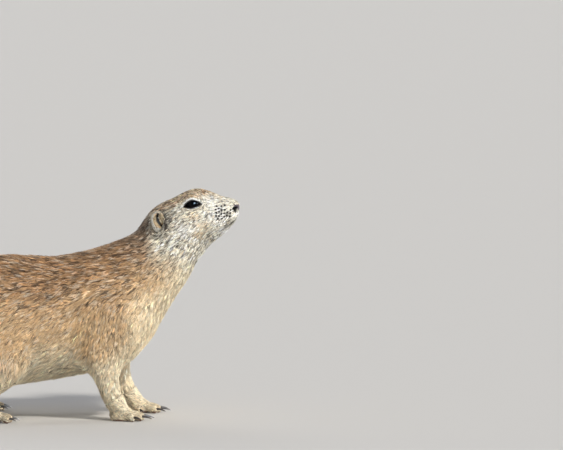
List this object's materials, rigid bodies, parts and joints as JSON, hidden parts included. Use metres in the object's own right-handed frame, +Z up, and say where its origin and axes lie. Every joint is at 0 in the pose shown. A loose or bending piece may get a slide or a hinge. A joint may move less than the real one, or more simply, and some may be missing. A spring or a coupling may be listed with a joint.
{
  "type": "prairie dog",
  "caption": "Life-size model of a black-tailed prairie dog standing alert on all fours with its head raised.",
  "frame": {"origin": "on the floor, under the middle of the whole animal from nose to tail tip and from side to side", "axes": "+X to the nose, +Y to the animal's left, +Z up"},
  "size_m": [0.3168, 0.1072, 0.1564],
  "materials": {
    "head": "short pale cream fur with fine dark hairs, browner on the crown",
    "coat": "short buff to cinnamon fur, paler below",
    "tail": "short buff fur with a black last third",
    "foot": "very short pale buff fur, bare soles",
    "ear": "thin skin with a pale fringe, warm tan inside",
    "eye": "wet, near black",
    "claw": "smooth dark horn"
  },
  "bodies": {
    "root": {"head": "head", "neck": "coat", "trunk": "coat", "tail": "tail", "eye_left": "eye", "ear_left": "ear", "foreleg_left": "coat", "hindleg_left": "coat", "claw_forefoot_left_thumb": "claw", "claw_forefoot_left_second": "claw", "claw_forefoot_left_third": "claw", "claw_forefoot_left_fourth": "claw", "claw_forefoot_left_fifth": "claw", "forefoot_left": "foot", "claw_hindfoot_left_first": "claw", "claw_hindfoot_left_second": "claw", "claw_hindfoot_left_third": "claw", "claw_hindfoot_left_fourth": "claw", "claw_hindfoot_left_fifth": "claw", "hindfoot_left": "foot", "eye_right": "eye", "ear_right": "ear", "foreleg_right": "coat", "hindleg_right": "coat", "claw_forefoot_right_thumb": "claw", "claw_forefoot_right_second": "claw", "claw_forefoot_right_third": "claw", "claw_forefoot_right_fourth": "claw", "claw_forefoot_right_fifth": "claw", "forefoot_right": "foot", "claw_hindfoot_right_first": "claw", "claw_hindfoot_right_second": "claw", "claw_hindfoot_right_third": "claw", "claw_hindfoot_right_fourth": "claw", "claw_hindfoot_right_fifth": "claw", "hindfoot_right": "foot"}
  },
  "joints": []
}
